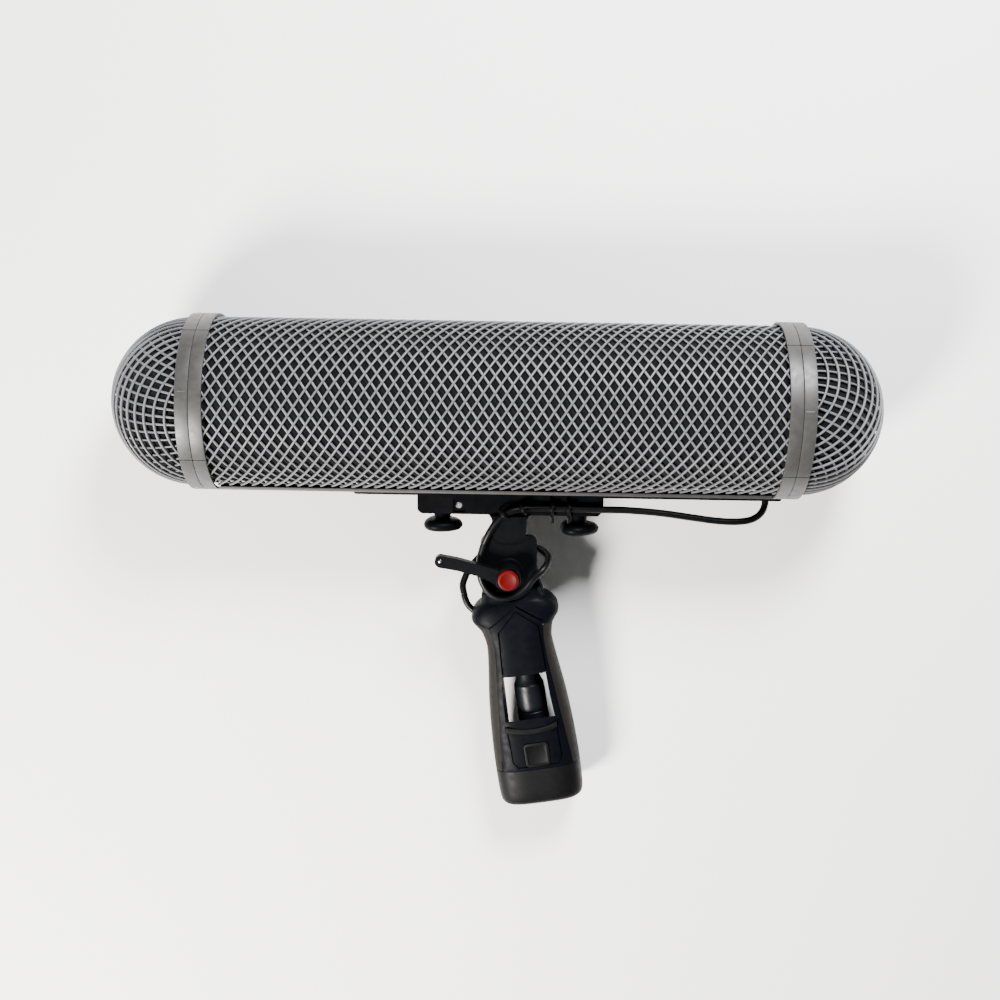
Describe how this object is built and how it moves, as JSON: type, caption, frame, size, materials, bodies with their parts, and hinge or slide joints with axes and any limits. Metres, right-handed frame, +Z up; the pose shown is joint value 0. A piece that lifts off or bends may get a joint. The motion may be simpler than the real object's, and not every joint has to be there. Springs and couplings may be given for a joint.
{
  "type": "microphone basket windshield with pistol grip",
  "caption": "Basket windshield for a shotgun microphone: a net tube with round pull-off end caps, a sprung inner mount, and a swivelling pistol grip with a clamp lever.",
  "frame": {"origin": "middle of the whole object's box, on the floor that the rings and the grip lie on", "axes": "+X along the tube towards its rear, where the cable comes out; +Y in the floor's plane from the grip towards the tube; +Z up, towards the side with the clamp lever"},
  "size_m": [0.4524, 0.2996, 0.1038],
  "materials": {
    "net_grey": "moulded net strands, satin grey",
    "ring_grey": "moulded, fine matte grain",
    "liner_black": "thin woven acoustic cloth",
    "black_plastic": "moulded, satin",
    "black_metal": "black anodised or painted, satin",
    "grip_brown": "soft-touch rubber with a fine grain",
    "band_black": "elastic loop",
    "cable_black": "smooth cable sheath",
    "steel": "plain",
    "brass": "plain, threaded inside",
    "button_red": "satin red"
  },
  "bodies": {
    "mount": {"suspension_bar": "black_metal", "front_clamp_nut": "black_metal", "rear_clamp_nut": "black_metal", "front_lyre": "black_plastic", "rear_lyre": "black_plastic", "bracket": "black_plastic", "bracket_pin": "steel", "cable_band_1": "band_black", "cable_band_2": "band_black", "left_cable_hook": "band_black", "right_cable_hook": "band_black", "front_friction_disc": "black_plastic", "back_friction_disc": "black_plastic", "swivel_bolt": "steel", "mic_socket": "black_metal", "cable_upper": "cable_black", "cable_loop": "cable_black"},
    "basket": {"net_tube": "net_grey", "tube_liner": "liner_black", "front_tube_collar": "ring_grey", "rear_tube_collar": "ring_grey", "left_rail": "ring_grey", "right_rail": "ring_grey"},
    "front_cap": {"front_cap_collar": "ring_grey", "front_dome_net": "net_grey", "front_dome_liner": "liner_black"},
    "rear_cap": {"rear_cap_collar": "ring_grey", "rear_dome_net": "net_grey", "rear_dome_liner": "liner_black"},
    "front_knob": {"front_knob": "black_plastic"},
    "rear_knob": {"rear_knob": "black_plastic"},
    "clamp_lever": {"clamp_lever": "black_metal", "lever_pin": "steel"},
    "release_button": {"release_button": "button_red"},
    "grip": {"grip_shell": "black_plastic", "grip_rubber_left": "grip_brown", "grip_rubber_right": "grip_brown", "grip_foot": "grip_brown", "boom_socket": "brass", "grip_lip": "grip_brown", "grip_badge": "grip_brown", "cable_plug": "black_metal", "cable_lower": "cable_black"}
  },
  "joints": [
    {"name": "basket_slide", "type": "slide", "parent": "mount", "child": "basket", "axis": [1, 0, 0], "range_m": [0, 0.08]},
    {"name": "front_cap_pull", "type": "slide", "parent": "basket", "child": "front_cap", "axis": [-1, 0, 0], "range_m": [0, 0.12]},
    {"name": "rear_cap_pull", "type": "slide", "parent": "basket", "child": "rear_cap", "axis": [1, 0, 0], "range_m": [0, 0.12]},
    {"name": "swivel", "type": "hinge", "parent": "mount", "child": "grip", "pos_m": [0.0087, -0.00011, 0.03768], "axis": [0, 0.1436, -0.9896], "range_deg": [-45, 60], "deforming": ["cable_loop"]},
    {"name": "lever_swing", "type": "hinge", "parent": "mount", "child": "clamp_lever", "pos_m": [0.0087, -0.00011, 0.03768], "axis": [0, 0.1436, -0.9896], "range_deg": [-60, 30]},
    {"name": "button_press", "type": "slide", "parent": "clamp_lever", "child": "release_button", "axis": [0, 0.1436, -0.9896], "range_m": [0, 0.002], "stiffness_N_per_m": 500, "springref_m": -0.001},
    {"name": "front_knob_turn", "type": "hinge", "parent": "mount", "child": "front_knob", "pos_m": [-0.0315, 0.02691, 0.0416], "axis": [0, 0.9896, 0.1436], "continuous": true},
    {"name": "rear_knob_turn", "type": "hinge", "parent": "mount", "child": "rear_knob", "pos_m": [0.0502, 0.02582, 0.04145], "axis": [0, 0.9896, 0.1436], "continuous": true}
  ]
}
